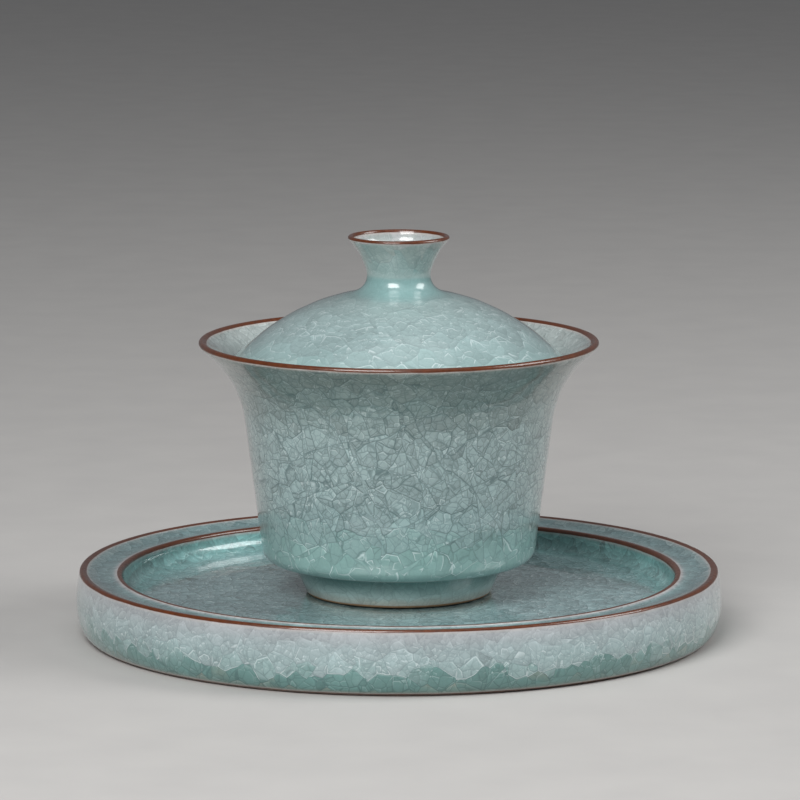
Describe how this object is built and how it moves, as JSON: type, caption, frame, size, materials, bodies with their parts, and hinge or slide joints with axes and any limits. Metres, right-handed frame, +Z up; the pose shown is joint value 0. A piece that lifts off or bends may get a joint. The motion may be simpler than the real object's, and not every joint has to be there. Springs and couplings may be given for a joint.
{
  "type": "gaiwan",
  "caption": "Lidded tea bowl with a flared lip, cupped knob and foot ring, standing in the shallow well of a wide round saucer.",
  "frame": {"origin": "centre of the saucer's foot ring, on the surface it stands on", "axes": "+Z up along the common axis of saucer, bowl and lid; the shape is the same in every direction around it"},
  "size_m": [0.1622, 0.1622, 0.1003],
  "materials": {
    "saucer_glaze": "glossy pale celadon crackle glaze over stoneware, iron-brown lip, inner edge and foot line",
    "bowl_glaze": "glossy celadon crackle glaze with fine dark crack lines, pale inside, iron-brown lip and foot line",
    "lid_glaze": "glossy pale celadon glaze with small overlapping flakes, iron-brown knob rim and edge"
  },
  "bodies": {
    "saucer": {"saucer": "saucer_glaze"},
    "bowl": {"bowl": "bowl_glaze"},
    "lid": {"lid": "lid_glaze"}
  },
  "joints": [
    {"name": "bowl_lift", "type": "slide", "parent": "saucer", "child": "bowl", "axis": [0, 0, 1], "range_m": [0, 0.06]},
    {"name": "lid_lift", "type": "slide", "parent": "bowl", "child": "lid", "axis": [0, 0, 1], "range_m": [0, 0.06]}
  ]
}
